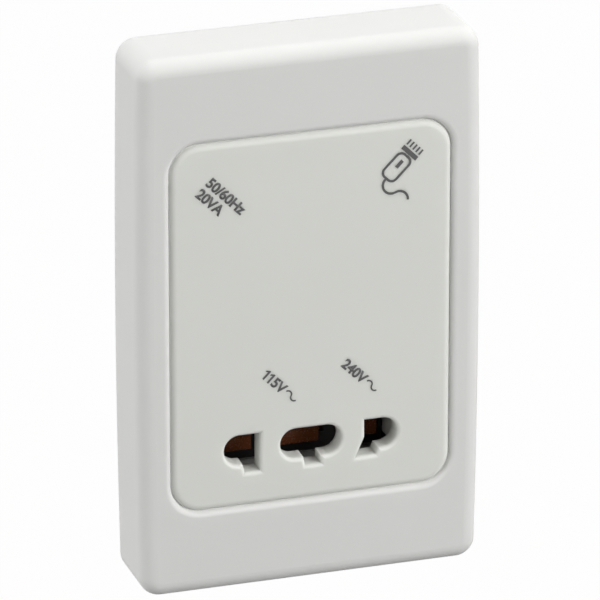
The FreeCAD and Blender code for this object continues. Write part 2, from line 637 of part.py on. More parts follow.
def pin_shutter():
    body = new_body("pin_shutter")
    drawing = sketch(body, "ShutterProfile", "-" + SHUTTER_HALF, "YZ_Plane")
    front = "(%s + ramp_run)" % SHUTTER_FRONT
    plate = "(%s + shutter_wall)" % SHUTTER_BACK
    ramp_top = "(ramp_rise - shutter_low)"
    outline(drawing, [
        ("-" + SHUTTER_BACK, "-shutter_low"), ("-" + SHUTTER_BACK, "-shutter_top"),
        ("-" + plate, "-shutter_top"), ("-" + plate, SHOULDER),
        ("-" + front, SHOULDER), ("-" + front, ramp_top),
        ("-" + SHUTTER_FRONT, "nose_height - shutter_low"), ("-" + SHUTTER_FRONT, "-shutter_low")][::-1])
    pad(body, "ShutterSlide", drawing, "2*" + SHUTTER_HALF)

    drawing = sketch(body, "PadGaps", "%s + ramp_run + fit" % SHUTTER_FRONT)
    low, high = "-shutter_low - fit", SHOULDER
    for left, right in (("-%s + pad_past" % LEFT_NEAR, "-%s - pad_lap" % MID_HALF),
                        (MID_HALF + " - pad_short", RIGHT_NEAR + " - pad_lead"),
                        (SIDE_FAR + " - pad_rest", SHUTTER_HALF + " + fit"),
                        ("-%s - fit" % SHUTTER_HALF, "-%s - fit" % SIDE_FAR)):
        rectangle(drawing, left, right, low, high)
    pads = pocket(body, "Gaps", drawing, "shutter_depth")
    nose, lowest = lies_out(SHUTTER_FRONT), CLOSE - number("shutter_low")
    fillet(body, "NoseRound", pads, "nose_round", lambda edge: nose(edge) and edge.BoundBox.ZMax < lowest)

    drawing = sketch(body, "SeatOutline", SHUTTER_BACK)
    rectangle(drawing, "-seat_half", "seat_half", "-shutter_top - seat_wall", "-shutter_top")
    pad(body, "SpringSeat", drawing, "2*spring_radius + spring_wire")
    drawing = sketch(body, "PegOutline", "-shutter_top - seat_wall/2", "XY_Plane")
    ring(drawing, "0", "-" + SPRING_OUT, "peg_radius")
    pad(body, "SpringPeg", drawing, "peg_length + seat_wall/2")


def shutter_spring():
    """Half turns of wire, each flat in its own plane. The planes tilt to and fro, so each half turn
    meets the next face to face and in line with it. An eight-sided wire keeps the mesh light."""
    rise = "((spring_top + shutter_top - spring_wire)/%d)" % (2 * SPRING_TURNS)
    turns = []
    for index in range(2 * SPRING_TURNS):
        start, lean = ("-spring_radius", "-" + rise) if index % 2 else ("spring_radius", rise)
        low = "-shutter_top + spring_wire/2 + %d*%s" % (index, rise)
        wire = doc.addObject("Part::RegularPolygon", "SpringWire%d" % index)
        wire.Polygon = WIRE_SIDES
        wire.Placement = FreeCAD.Placement(FreeCAD.Vector(), TURNS["y"])
        tie(wire, Circumradius="spring_wire/2", Placement__Base__x=start,
            Placement__Base__y="-" + SPRING_OUT, Placement__Base__z=low)
        turn = doc.addObject("Part::Revolution", "SpringTurn%d" % index)
        turn.Source = wire
        turn.Solid = True
        turn.Angle = 180
        tie(turn, Base__y="-" + SPRING_OUT, Base__z="%s + %s/2" % (low, rise),
            Axis__x=lean, Axis__z="2*spring_radius")
        turns.append(turn)
    fused("shutter_spring", turns)


# Contacts and the carrier that holds them behind the shutter

def contact(label, left, right):
    """A lyre of sprung strip: two leaves that pinch the pin, joined at the back, with a solder tag."""
    body = new_body(label)
    front = "(-%s + carrier_wall)" % CARRIER_FRONT
    back = "(%s + contact_length)" % front
    pinch = "(%s + pinch_depth)" % front
    waist = "(%s - strip)" % back
    above, below = "-hole_row + %s", "-hole_row - (%s)"
    outer = [(front, "mouth/2"), (pinch, "throat/2 + strip"), (back, "mouth/2")]
    inner = [(front, "mouth/2 - strip"), (pinch, "throat/2"), (waist, "mouth/2 - strip")]
    corners = [(y, below % z) for y, z in outer]
    corners += [(y, above % z) for y, z in outer[::-1]]
    corners += [(y, above % z) for y, z in inner]
    corners += [(y, below % z) for y, z in inner[::-1]]
    drawing = sketch(body, label + "_profile", left, "YZ_Plane")
    outline(drawing, corners)
    pad(body, label + "_leaves", drawing, "(%s) - (%s)" % (right, left))
    middle = "((%s) + (%s))/2" % (left, right)
    drawing = sketch(body, label + "_tag", "-%s" % back)
    rectangle(drawing, middle + " - tag_width/2", middle + " + tag_width/2",
              "-hole_row - strip/2", "-hole_row + strip/2")
    blade = pad(body, label + "_blade", drawing, "tag_length + -%s - %s" % (CARRIER_BACK, back))
    blade.Reversed = True
    doc.recompute()


CELLS = (("contact_115v", "-%s + fit" % SIDE_FAR, "-%s - fit" % LEFT_NEAR),
         ("contact_common", "-%s + fit" % MID_HALF, MID_HALF + " - fit"),
         ("contact_240v", RIGHT_NEAR + " + fit", SIDE_FAR + " - fit"))


def contact_carrier():
    front, back = "-" + CARRIER_FRONT, "-" + CARRIER_BACK
    base = block("CarrierBlock", ("-" + CARRIER_HALF, CARRIER_HALF), (front, back),
                 ("-carrier_low", "-carrier_top"))
    ears = block("CarrierEars", ("-%s - ear_post" % EAR_X, EAR_X + " + ear_post"),
                 (front, front + " + ear_wall"), ("-ear_z - ear_half", "-ear_z + ear_half"))
    tools = []
    for label, left, right in CELLS:
        tools.append(block(label + "_cell", (left + " - fit/2", right + " + fit/2"),
                           (front + " - fit", front + " + carrier_wall + contact_length"),
                           ("-hole_row - mouth/2", "-hole_row + mouth/2")))
        middle = "((%s) + (%s))/2" % (left, right)
        tools.append(block(label + "_slit", (middle + " - tag_width/2", middle + " + tag_width/2"),
                           (front, back + " + fit"), ("-hole_row - strip/2", "-hole_row + strip/2")))
    for side in ("-", ""):
        start = (side + EAR_X, front + " - fit", "-ear_z")
        name = "EarHole" + ("L" if side else "R")
        tools.append(rod(name, "y", start, "tap_radius + fit/2", "ear_wall + 2*fit"))
    cut("contact_carrier", fused("CarrierBody", [base, ears], node=False), tools)


def carrier_screws():
    pieces = []
    for side in ("-", ""):
        seat = "-%s + ear_wall" % CARRIER_FRONT
        name = "Tap" + ("L" if side else "R")
        pieces.append(rod(name + "Head", "y", (side + EAR_X, seat, "-ear_z"), "tap_head", "tap_radius"))
        pieces.append(rod(name + "Shank", "y", (side + EAR_X, seat + " - tap_length", "-ear_z"),
                          "tap_radius", "tap_length"))
    fused("carrier_screws", pieces)


# Rear housing: a shallow tray that carries the terminals, with a deep part for the transformer

def rear_housing():
    body = new_body("rear_housing")
    drawing = sketch(body, "TrayOutline", "-step_depth")
    rounded(drawing, *HOUSE)
    pad(body, "Tray", drawing, "step_depth + flange_back")
    drawing = sketch(body, "HumpOutline", "-house_depth")
    rounded(drawing, *HUMP, middle=CORE_Z)
    pad(body, "Hump", drawing, "house_depth - step_depth + house_wall")

    drawing = sketch(body, "TrayInside", "flange_back")
    rounded(drawing, *grown(HOUSE, "-house_wall"))
    pocket(body, "TrayHollow", drawing, "step_depth - house_wall + flange_back")
    drawing = sketch(body, "HumpInside", "flange_back")
    rounded(drawing, *grown(HUMP, "-house_wall"), middle=CORE_Z)
    pocket(body, "HumpHollow", drawing, "house_depth - house_wall + flange_back")

    drawing = sketch(body, "Columns", "-step_depth + house_wall/2")
    bores = sketch(body, "ColumnBores", "flange_back")
    for x, z in CORNERS:
        ring(drawing, x + SCREW_X, z + "screw_z", "post_radius + fit")
        ring(bores, x + SCREW_X, z + "screw_z", "screw_radius + fit")
    pad(body, "ColumnPads", drawing, "step_depth - house_wall/2 + flange_back")
    pocket(body, "ColumnCuts", bores, "step_depth + 2*flange_back")

    drawing = sketch(body, "VentOutline", "-house_depth + 2*house_wall")
    for index in range(-2, 3):
        middle = "%d*vent_pitch" % index
        rectangle(drawing, middle + " - vent_width/2", middle + " + vent_width/2",
                  CORE_Z + " - vent_height/2", CORE_Z + " + vent_height/2")
    pocket(body, "Vents", drawing, "3*house_wall")

    drawing = sketch(body, "FootBossOutline", "-house_depth + house_wall/2")
    bores = sketch(body, "FootBossBores", "-" + FOOT_Y)
    for side in ("-", ""):
        ring(drawing, side + FOOT_X, FOOT_Z, "post_radius")
        ring(bores, side + FOOT_X, FOOT_Z, "tap_radius")
    pad(body, "FootBosses", drawing, "house_depth - house_wall/2 - " + FOOT_Y)
    pocket(body, "FootBores", bores, "house_depth - house_wall - " + FOOT_Y)

    drawing = sketch(body, "TerminalWalls", "-step_depth - pocket_depth")
    half = "(terminal_x + terminal_width/2 + fit + pocket_wall)"
    low = "(-terminal_z - terminal_height/2 - fit - pocket_wall)"
    high = "(-terminal_z + terminal_height/2 + fit)"
    rectangle(drawing, "-" + half, half, low, high)
    pad(body, "TerminalBlock", drawing, "pocket_depth + house_wall/2")
    drawing = sketch(body, "TerminalCells", "-step_depth")
    for side in ("-", ""):
        rectangle(drawing, side + "terminal_x - terminal_width/2 - fit",
                  side + "terminal_x + terminal_width/2 + fit", low + " + pocket_wall", high + " + fit")
    pocket(body, "TerminalPockets", drawing, "2*pocket_depth")
    drawing = sketch(body, "WireEntry", low + " + pocket_wall*2", "XY_Plane")
    for side in ("-", ""):
        ring(drawing, side + "terminal_x", "step_depth + terminal_depth/2", "terminal_bore + fit")
    pocket(body, "WireEntries", drawing, "pocket_wall*4")


def housing_screws():
    pieces = []
    for index, (x, z) in enumerate(CORNERS):
        place = (x + SCREW_X, "step_depth", z + "screw_z")
        pieces.append(rod("HouseHead%d" % index, "y", place, "head_radius", "head_height"))
        start = (place[0], "-%s + panel_wall" % PANEL_BACK, place[2])
        pieces.append(rod("HouseShank%d" % index, "y", start, "screw_radius",
                          "step_depth + %s - panel_wall" % PANEL_BACK))
    fused("housing_screws", pieces)


# Transformer

def core():
    """E and I stacks: the E has three legs that point down, the I closes them."""
    body = new_body("core_e_stack")
    drawing = sketch(body, "EOutline", "-%s - core_stack" % CORE_FRONT)
    half = "(%s/2)" % CORE_WIDTH
    side = "(%s - %s)" % (half, LEG)
    outline(drawing, [
        ("-" + half, WINDOW_LOW), ("-" + side, WINDOW_LOW), ("-" + side, WINDOW_HIGH),
        ("-" + LEG, WINDOW_HIGH), ("-" + LEG, WINDOW_LOW), (LEG, WINDOW_LOW), (LEG, WINDOW_HIGH),
        (side, WINDOW_HIGH), (side, WINDOW_LOW), (half, WINDOW_LOW), (half, CORE_TOP), ("-" + half, CORE_TOP)])
    pad(body, "EStack", drawing, "core_stack")
    bar = block("core_i_stack", ("-" + half, half), (CORE_FRONT, CORE_FRONT + " + core_stack"),
                (CORE_LOW, WINDOW_LOW))
    bar.Label = "core_i_stack"
    NODES.append(bar)


def about_core(x, y):
    """A block's sides: this far to both sides of the core's middle."""
    return ("-" + x, x), ("%s - %s" % (CORE_Y, y), "%s + %s" % (CORE_Y, y))


def coil():
    """A bobbin with two chambers on the core's middle leg, one winding in each."""
    low, high = WINDOW_LOW + " + fit/2", WINDOW_HIGH + " - fit/2"
    middle = "(%s + %s)/2" % (WINDOW_LOW, WINDOW_HIGH)
    bore_x, bore_y = "(%s + fit/2)" % LEG, "(core_stack/2 + fit/2)"
    tube_x, tube_y = "(%s + bobbin_wall)" % bore_x, "(%s + bobbin_wall)" % bore_y
    tube = block("BobbinTube", *about_core(tube_x, tube_y), (low, high))
    levels = [(low, low + " + bobbin_wall"), (middle + " - bobbin_wall/2", middle + " + bobbin_wall/2"),
              (high + " - bobbin_wall", high)]
    cheeks = [block("Cheek%d" % index, *about_core(BOBBIN_X, BOBBIN_Y), level)
              for index, level in enumerate(levels)]
    bore = block("BobbinBore", *about_core(bore_x, bore_y), (low + " - fit", high + " + fit"))
    cut("coil_bobbin", fused("BobbinBody", [tube] + cheeks, node=False), [bore])
    for label, below, above in zip(("primary_winding", "secondary_winding"), levels, levels[1:]):
        body = new_body(label)
        drawing = sketch(body, label + "_outline", below[1], "XY_Plane")
        tie(drawing, AttachmentOffset__Base__y=CORE_Y)
        rounded(drawing, *grown(("2*" + BOBBIN_X, "2*" + BOBBIN_Y, "(%s/2)" % LEG), "-coil_inset"))
        rectangle(drawing, "-" + tube_x, tube_x, "-" + tube_y, tube_y)
        pad(body, label + "_pad", drawing, "%s - (%s)" % (above[0], below[1]))


def core_clamp():
    """A steel strap over the core, with two feet that are screwed to the housing."""
    half = "(%s/2)" % CORE_WIDTH
    y = (CORE_FRONT, CORE_FRONT + " + core_stack")
    foot_z = ("-" + FOOT_LOW, "foot_height - " + FOOT_LOW)
    across = ("-%s - clamp_wall" % half, half + " + clamp_wall")
    pieces = [block("ClampTop", across, y, (CORE_TOP, CORE_TOP + " + clamp_wall"))]
    holes = []
    for side, name in (("-", "Left"), ("", "Right")):
        wall = (half, half + " + clamp_wall")
        foot = (half + " + clamp_wall - foot_width", half + " + clamp_wall")
        if side:
            wall, foot = [tuple("-(%s)" % text for text in pair[::-1]) for pair in (wall, foot)]
        pieces.append(block("ClampSide" + name, wall, y, ("-" + FOOT_LOW, CORE_TOP)))
        pieces.append(block("ClampArm" + name, wall, (y[0], FOOT_Y), foot_z))
        pieces.append(block("ClampFoot" + name, foot, (FOOT_Y + " - clamp_wall", FOOT_Y), foot_z))
        place = (side + FOOT_X, FOOT_Y + " - 2*clamp_wall", FOOT_Z)
        holes.append(rod("ClampHole" + name, "y", place, "tap_radius + fit/2", "3*clamp_wall"))
    cut("core_clamp", fused("ClampBody", pieces, node=False), holes)


def clamp_screws():
    pieces = []
    for side, name in (("-", "Left"), ("", "Right")):
        head = (side + FOOT_X, FOOT_Y + " - clamp_wall - tap_radius", FOOT_Z)
        shank = (side + FOOT_X, FOOT_Y + " - clamp_wall", FOOT_Z)
        pieces.append(rod("FootHead" + name, "y", head, "tap_head", "tap_radius"))
        pieces.append(rod("FootShank" + name, "y", shank, "tap_radius", "house_depth - house_wall - " + FOOT_Y))
    fused("clamp_screws", pieces)


def thermal_cutout():
    back = "(%s - %s)" % (CORE_Y, BOBBIN_Y)
    low = "(%s - cutout_height/2)" % CORE_Z
    body = block("CutoutBody", ("-cutout_width/2", "cutout_width/2"), (back + " - cutout_wall", back),
                 (low, low + " + cutout_height"))
    tags = []
    for side, name in (("-", "Left"), ("", "Right")):
        middle = side + "cutout_width/4"
        tags.append(block("CutoutTag" + name, (middle + " - cutout_tag/2", middle + " + cutout_tag/2"),
                          (back + " - cutout_wall/2 - strip", back + " - cutout_wall/2"),
                          (low + " - tag_length", CORE_Z)))
    fused("thermal_cutout", [body] + tags)


# Terminals on the back of the shallow end

def terminals():
    for label, side in (("terminal_active", "-"), ("terminal_neutral", "")):
        x = side + "terminal_x"
        z = "-terminal_z"
        body = block(label + "_block", (x + " - terminal_width/2", x + " + terminal_width/2"),
                     ("step_depth", "step_depth + terminal_depth"),
                     (z + " - terminal_height/2", z + " + terminal_height/2"))
        middle = "step_depth + terminal_depth/2"
        low = z + " - terminal_height"
        wire = rod(label + "_wire", "z", (x, middle, low), "terminal_bore", "2*terminal_height")
        tapped = rod(label + "_tapped", "y", (x, middle, z), "terminal_screw", "terminal_depth")
        cut(label, body, [wire, tapped])


def terminal_screws():
    pieces = []
    for side, name in (("-", "Left"), ("", "Right")):
        x = side + "terminal_x"
        start = (x, "step_depth + terminal_depth/2 + terminal_bore/2", "-terminal_z")
        grub = rod("Grub" + name, "y", start, "terminal_screw", "terminal_depth/2 + terminal_bore/2")
        slot = block("GrubSlot" + name, (x + " - terminal_screw", x + " + terminal_screw"),
                     ("step_depth + terminal_depth + terminal_bore/2", "step_depth + 2*terminal_depth"),
                     ("-terminal_z - strip/2", "-terminal_z + strip/2"))
        pieces.append(cut("GrubCut" + name, grub, [slot], node=False))
    fused("terminal_screws", pieces)


cover_surround()
grid_plate()
front_panel()
pin_shutter()
shutter_spring()
contact_carrier()
for cell in CELLS:
    contact(*cell)
carrier_screws()
rear_housing()
housing_screws()
core()
coil()
core_clamp()
clamp_screws()
thermal_cutout()
terminals()
terminal_screws()
doc.recompute()

for item in doc.Objects:
    if "Invalid" in item.State or "Error" in item.State:
        raise RuntimeError("%s is in state %s" % (item.Label, item.State))
for node in NODES:
    if node.Shape.isNull() or not node.Shape.isValid() or not node.Shape.Solids:
        raise RuntimeError(node.Label + " has no valid solid")
lifted = doc.getObject("pin_shutter").Shape.translated(FreeCAD.Vector(0, 0, number("shutter_travel")))
if lifted.common(doc.getObject("front_panel").Shape).Volume > CLOSE:
    raise RuntimeError("the lifted shutter runs into the panel")
os.makedirs("parts", exist_ok=True)
for node in NODES:
    node.Shape.exportStep("parts/%s.step" % node.Label)
    print("%-20s solids %d  volume %.1f" % (node.Label, len(node.Shape.Solids), node.Shape.Volume))
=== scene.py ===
# %% [markdown]
# # A shaver socket
#
# The real thing is a wall plate: a clip-on surround, a panel with three pin apertures, a sprung
# brown shutter behind them and an isolating transformer in a box at the back. The CAD model
# already has every rigid shape, so this lesson is about the rest: the camera, the light, the ink
# on the panel, the screws' cross recesses, and a finish for each plastic and metal.

# %% Load the frame
import math

import bmesh
import bpy
from mathutils import Matrix, Vector


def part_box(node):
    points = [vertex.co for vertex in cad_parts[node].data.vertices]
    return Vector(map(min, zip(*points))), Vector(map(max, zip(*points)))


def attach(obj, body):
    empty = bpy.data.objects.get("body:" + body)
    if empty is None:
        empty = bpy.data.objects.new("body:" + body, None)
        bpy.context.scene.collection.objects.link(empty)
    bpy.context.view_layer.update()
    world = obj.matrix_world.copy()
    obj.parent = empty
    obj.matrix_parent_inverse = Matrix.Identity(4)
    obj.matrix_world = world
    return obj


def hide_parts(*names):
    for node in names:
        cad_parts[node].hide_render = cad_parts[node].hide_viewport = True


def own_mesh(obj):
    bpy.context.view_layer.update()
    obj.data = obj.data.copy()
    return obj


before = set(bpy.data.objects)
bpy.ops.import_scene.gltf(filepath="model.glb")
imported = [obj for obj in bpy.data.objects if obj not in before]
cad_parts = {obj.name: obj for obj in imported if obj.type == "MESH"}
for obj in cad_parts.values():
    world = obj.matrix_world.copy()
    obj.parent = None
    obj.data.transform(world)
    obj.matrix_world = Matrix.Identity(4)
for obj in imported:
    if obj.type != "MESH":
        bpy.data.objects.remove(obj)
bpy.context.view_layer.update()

MM = 0.001

# %% [markdown]
# ## The camera
#
# The photograph was taken with a long lens, from the left and from above, so the plate's upright
# edges stay upright and the level ones slope. A camera could be moved about by eye until it fits.
# Here its two angles and its focal length were solved from the plate's corners, and the camera
# is placed from those numbers: it looks along one line and stands as far back as the scale asks.

# %% Place the camera
PHOTO_SIDE = 600
FOCAL = 7151
PIXELS_PER_MM = 4.914
ORIGIN_PIXEL = (287.3, 288.7)
SWING = math.radians(17.9)
HEIGHT = math.radians(21.86)
SENSOR = 36

back = Vector((-math.sin(SWING) * math.cos(HEIGHT), -math.cos(SWING) * math.cos(HEIGHT), math.sin(HEIGHT)))
right = Vector((math.cos(SWING), -math.sin(SWING), 0))
up = back.cross(right)
across = (PHOTO_SIDE / 2 - ORIGIN_PIXEL[0]) / PIXELS_PER_MM
below = (PHOTO_SIDE / 2 - ORIGIN_PIXEL[1]) / PIXELS_PER_MM
aim = (right * across - up * below) * MM

lens = bpy.data.cameras.new("photo_camera")
lens.sensor_width = SENSOR
lens.lens = SENSOR * FOCAL / PHOTO_SIDE
camera = bpy.data.objects.new("photo_camera", lens)
camera.location = aim + back * (FOCAL / PIXELS_PER_MM * MM)
camera.rotation_mode = "QUATERNION"
camera.rotation_quaternion = (-back).to_track_quat("-Z", "Y")
bpy.context.scene.collection.objects.link(camera)
bpy.context.scene.camera = camera
bpy.context.scene.view_settings.view_transform = "Standard"
print("camera stands at", [round(c, 3) for c in camera.location], "lens", round(lens.lens))

# %% [markdown]
# ## Small helpers for nodes
#
# A material is a graph of nodes. Adding one takes several lines each time: make it, set its
# properties, fill its sockets, link it. Three helpers keep the graphs below readable: one places a
# node, one starts a node group, which is a piece of graph that several materials share, and one
# links what such a group gives out.

# %% Helpers for nodes


def place(tree, kind, inputs=(), **settings):
    """Add a node. Settings are its properties; inputs are its sockets, each a value or a socket to link."""
    made = tree.nodes.new("ShaderNode" + kind)
    for name, value in settings.items():
        setattr(made, name, value)
    for name, value in dict(inputs).items():
        if isinstance(value, bpy.types.NodeSocket):
            tree.links.new(value, made.inputs[name])
        else:
            made.inputs[name].default_value = value
    return made


def start_group(name, inputs, outputs):
    """A node group with named sockets, and its two end nodes."""
    tree = bpy.data.node_groups.new(name, "ShaderNodeTree")
    for label, value in inputs.items():
        kind = "NodeSocketFloat" if isinstance(value, (int, float)) else "NodeSocketColor"
        socket = tree.interface.new_socket(label, in_out="INPUT", socket_type=kind)
        socket.default_value = value
    for label, kind in outputs.items():
        tree.interface.new_socket(label, in_out="OUTPUT", socket_type="NodeSocket" + kind)
    return tree, tree.nodes.new("NodeGroupInput").outputs, tree.nodes.new("NodeGroupOutput").inputs


def give(tree, result, sockets):
    """Link a group's outputs to the sockets that make them."""
    for label, socket in sockets.items():
        tree.links.new(socket, result[label])


def srgb(red, green, blue):
    """A colour as a picture gives it, 0 to 255, turned into the linear light that nodes work in."""
    parts = [c / 255 for c in (red, green, blue)]
    return (*[c / 12.92 if c < 0.04045 else ((c + 0.055) / 1.055) ** 2.4 for c in parts], 1.0)


print("a mid grey of 128 is", round(srgb(128, 128, 128)[0], 3), "in linear light")

# %% [markdown]
# ## The studio
#
# The photograph is a catalogue picture: white all round, with broad light from above. The white
# could come from very strong lamps, but those would wash the plate out too. So the lamps keep a
# plain level, and the floor and the world look white only to rays that come from the camera or
# from a reflection. The floor lies well below the part, as the part hangs on a wall.

# %% Floor and world
FLOOR_DROP = 0.42
FLOOR_HALF = 12
AMBIENT = 0.5
FLOOR_GLOW = 0.985


def seen_directly(tree):
    """1 for rays from the camera, a reflection or glass, 0 for the rays that light the scene."""
    path = place(tree, "LightPath").outputs
    first = place(tree, "Math", {0: path["Is Camera Ray"], 1: path["Is Glossy Ray"]}, operation="MAXIMUM")
    both = place(tree, "Math", {0: first.outputs[0], 1: path["Is Transmission Ray"]}, operation="MAXIMUM")
    return both.outputs[0]


floor_paint = bpy.data.materials.new("studio_floor")
floor_paint.use_nodes = True
tree = floor_paint.node_tree
paint = tree.nodes["Principled BSDF"]
paint.inputs["Base Color"].default_value = srgb(130, 130, 130)
paint.inputs["Roughness"].default_value = 0.9
glow = place(tree, "Emission", {"Color": (1, 1, 1, 1), "Strength": 1.0})
share = place(tree, "Math", {0: seen_directly(tree), 1: FLOOR_GLOW}, operation="MULTIPLY")
lit = place(tree, "MixShader", {0: share.outputs[0], 1: paint.outputs[0], 2: glow.outputs[0]})
below_floor = place(tree, "NewGeometry").outputs["Backfacing"]
clear = place(tree, "BsdfTransparent")
open_below = place(tree, "MixShader", {0: below_floor, 1: lit.outputs[0], 2: clear.outputs[0]})
tree.links.new(open_below.outputs[0], tree.nodes["Material Output"].inputs["Surface"])

sheet = bpy.data.meshes.new("studio_floor")
shape = bmesh.new()
bmesh.ops.create_grid(shape, x_segments=1, y_segments=1, size=FLOOR_HALF)
bmesh.ops.translate(shape, verts=shape.verts, vec=(0, 0, -FLOOR_DROP))
shape.to_mesh(sheet)
shape.free()
sheet.materials.append(floor_paint)
floor = bpy.data.objects.new("studio_floor", sheet)
bpy.context.scene.collection.objects.link(floor)

world = bpy.data.worlds.new("studio")
world.use_nodes = True
bpy.context.scene.world = world
tree = world.node_tree
level = place(tree, "MapRange", {"Value": seen_directly(tree), "To Min": AMBIENT, "To Max": 1.0})
tree.links.new(level.outputs[0], tree.nodes["Background"].inputs["Strength"])
tree.nodes["Background"].inputs["Color"].default_value = (1, 1, 1, 1)
print("floor", FLOOR_DROP, "m below the part's middle; ambient level", AMBIENT)

# %% [markdown]
# ## The lamps
#
# The plate's top is the brightest face, its right shoulder is a little brighter than the front, the
# left side is level with the front and the lower rounding is the darkest. So one broad softbox
# hangs overhead, one stands at the front right, and a weaker one lights the left side alone.
# The floor is grey to the light that falls on it, so little comes back up to the lower rounding.

# %% Softboxes


def softbox(name, place_at, width, watts):
    """A square area lamp that looks at the part."""
    lamp = bpy.data.lights.new(name, "AREA")
    lamp.size = width
    lamp.energy = watts
    lamp.color = (1.0, 1.0, 1.0)
    box = bpy.data.objects.new(name, lamp)
    box.location = place_at
    box.rotation_mode = "QUATERNION"
    box.rotation_quaternion = (-Vector(place_at)).to_track_quat("-Z", "Y")
    bpy.context.scene.collection.objects.link(box)
    return box


softbox("overhead", (0.0, 0.2, 1.3), 1.2, 8.8)
softbox("right_key", (0.9, -1.0, 0.58), 0.9, 17.5)
softbox("left_side", (-1.3, -0.1, 0.25), 0.9, 9.0)

# %% [markdown]
# ## Moulded plastic
#
# Every plastic piece came out of a steel mould. Its colour is even, with very faint flow marks;
# its skin has a fine grain from the mould, which blurs reflections; and no edge is razor sharp.
# A picture texture could hold all that, but it would need unwrapping. One node group does it from
# noise on Object coordinates, so it works on any piece, and each material gives it its own values.

# %% Node group: moulded skin
moulded_skin, given, result = start_group(
    "MouldedSkin",
    {"Base": (0.8, 0.8, 0.8, 1), "Shade": (0.7, 0.7, 0.7, 1), "Flow Scale": 45.0, "Grain Scale": 2600.0,
     "Roughness Low": 0.35, "Roughness High": 0.5},
    {"Color": "Color", "Roughness": "Float", "Height": "Float"})
where = place(moulded_skin, "TexCoord").outputs["Object"]
flow = place(moulded_skin, "TexNoise", {"Vector": where, "Scale": given["Flow Scale"], "Detail": 3.0})
grain = place(moulded_skin, "TexNoise", {"Vector": where, "Scale": given["Grain Scale"], "Detail": 2.0})
tint = place(moulded_skin, "Mix", {0: flow.outputs[0], 6: given["Base"], 7: given["Shade"]},
             data_type="RGBA")
rough = place(moulded_skin, "MapRange", {
    "Value": grain.outputs[0], "From Min": 0.3, "From Max": 0.7,
    "To Min": given["Roughness Low"], "To Max": given["Roughness High"]})
give(moulded_skin, result, {"Color": tint.outputs[2], "Roughness": rough.outputs[0], "Height": grain.outputs[0]})
print("group", moulded_skin.name, "gives", [s.name for s in result if s.name])

# %% [markdown]
# ## Materials for the mouldings
#
# Surround and panel are near-white urea, the panel a shade warmer. Urea lets light a little way in,
# which softens the groove and the apertures' rims, so these two scatter below the surface. In a
# narrow gap such as the groove the ambient occlusion node finds the gap and paints the colour
# lighter there: painted light that lifts the groove's shade. The box at the back is plainer, with a coarser
# grain.
# The shutter is polished brown, so a plug's pins slide on it. The part that carries the contacts is
# black phenolic, the bobbin is a milky nylon.

# %% Plastics
SATIN = 0.3
# How shut a gap must be to get painted light, and the near-white painted into it to lift the groove's shade
GAP_SHUT = 0.1
GAP_OPEN = 0.42
GAP_PAINTED_LIGHT = (1, 1, 0.98, 1)


def plastic(name, base, shade, roughness, grain, relief, edge, scatter=0.0):
    """A moulded plastic: colours as a picture gives them, sizes in millimetres."""
    made = bpy.data.materials.new(name)
    made.use_nodes = True
    tree = made.node_tree
    shader = tree.nodes["Principled BSDF"]
    skin = place(tree, "Group", node_tree=moulded_skin)
    skin.inputs["Base"].default_value = srgb(*base)
    skin.inputs["Shade"].default_value = srgb(*shade)
    skin.inputs["Grain Scale"].default_value = 1 / (grain * MM)
    skin.inputs["Roughness Low"].default_value = roughness[0]
    skin.inputs["Roughness High"].default_value = roughness[1]
    colour = skin.outputs["Color"]
    if scatter:
        shader.inputs["Specular IOR Level"].default_value = SATIN
        shader.inputs["Subsurface Weight"].default_value = 1.0
        shader.inputs["Subsurface Radius"].default_value = (1.0, 1.0, 1.0)
        shader.inputs["Subsurface Scale"].default_value = scatter * MM
        # Painted light: where ambient occlusion finds a narrow gap, the colour is mixed towards near white
        around = place(tree, "AmbientOcclusion", {"Distance": scatter * MM}, samples=8)
        in_the_open = place(tree, "MapRange", {
            "Value": around.outputs["AO"], "From Min": GAP_SHUT, "From Max": GAP_OPEN})
        lifted = place(tree, "Mix", {0: in_the_open.outputs[0], 6: GAP_PAINTED_LIGHT, 7: colour}, data_type="RGBA")
        colour = lifted.outputs[2]
    soft = place(tree, "Bevel", {"Radius": edge * MM}, samples=4)
    bump = place(tree, "Bump", {"Height": skin.outputs["Height"], "Strength": relief,
                                "Distance": grain * MM / 4, "Normal": soft.outputs[0]})
    tree.links.new(colour, shader.inputs["Base Color"])
    tree.links.new(skin.outputs["Roughness"], shader.inputs["Roughness"])
    tree.links.new(bump.outputs[0], shader.inputs["Normal"])
    return made


cover_finish = plastic("cover_urea", (213, 213, 211), (210, 210, 208), (0.52, 0.62), 0.35, 0.06, 0.15, 1.8)
panel_finish = plastic("panel_urea", (214, 215, 210), (211, 212, 207), (0.54, 0.64), 0.35, 0.06, 0.15, 1.8)
grid_finish = plastic("grid_plate_nylon", (188, 188, 184), (178, 178, 174), (0.45, 0.6), 0.5, 0.15, 0.2)
housing_finish = plastic("housing_nylon", (176, 176, 172), (164, 164, 160), (0.45, 0.62), 0.6, 0.25, 0.25)
shutter_finish = plastic("shutter_brown", (116, 66, 39), (96, 53, 30), (0.2, 0.3), 0.4, 0.05, 0.25)
carrier_finish = plastic("carrier_phenolic", (26, 24, 23), (16, 15, 15), (0.3, 0.45), 0.5, 0.12, 0.2)
bobbin_finish = plastic("bobbin_nylon", (226, 220, 204), (214, 206, 186), (0.35, 0.5), 0.5, 0.1, 0.15)
cutout_finish = plastic("cutout_case", (46, 46, 50), (34, 34, 38), (0.35, 0.5), 0.5, 0.15, 0.2)
print("plastics ready")

# %% [markdown]
# ## Metals
#
# Brass contacts, zinc-plated screws and bare spring steel are not evenly bright: rolling and
# drawing leave streaks, and handling leaves duller patches. A second node group stretches one
# noise along an axis for the streaks and lays a broad one over it for the patches. Only the colour,
# the direction and the dullness differ from metal to metal.

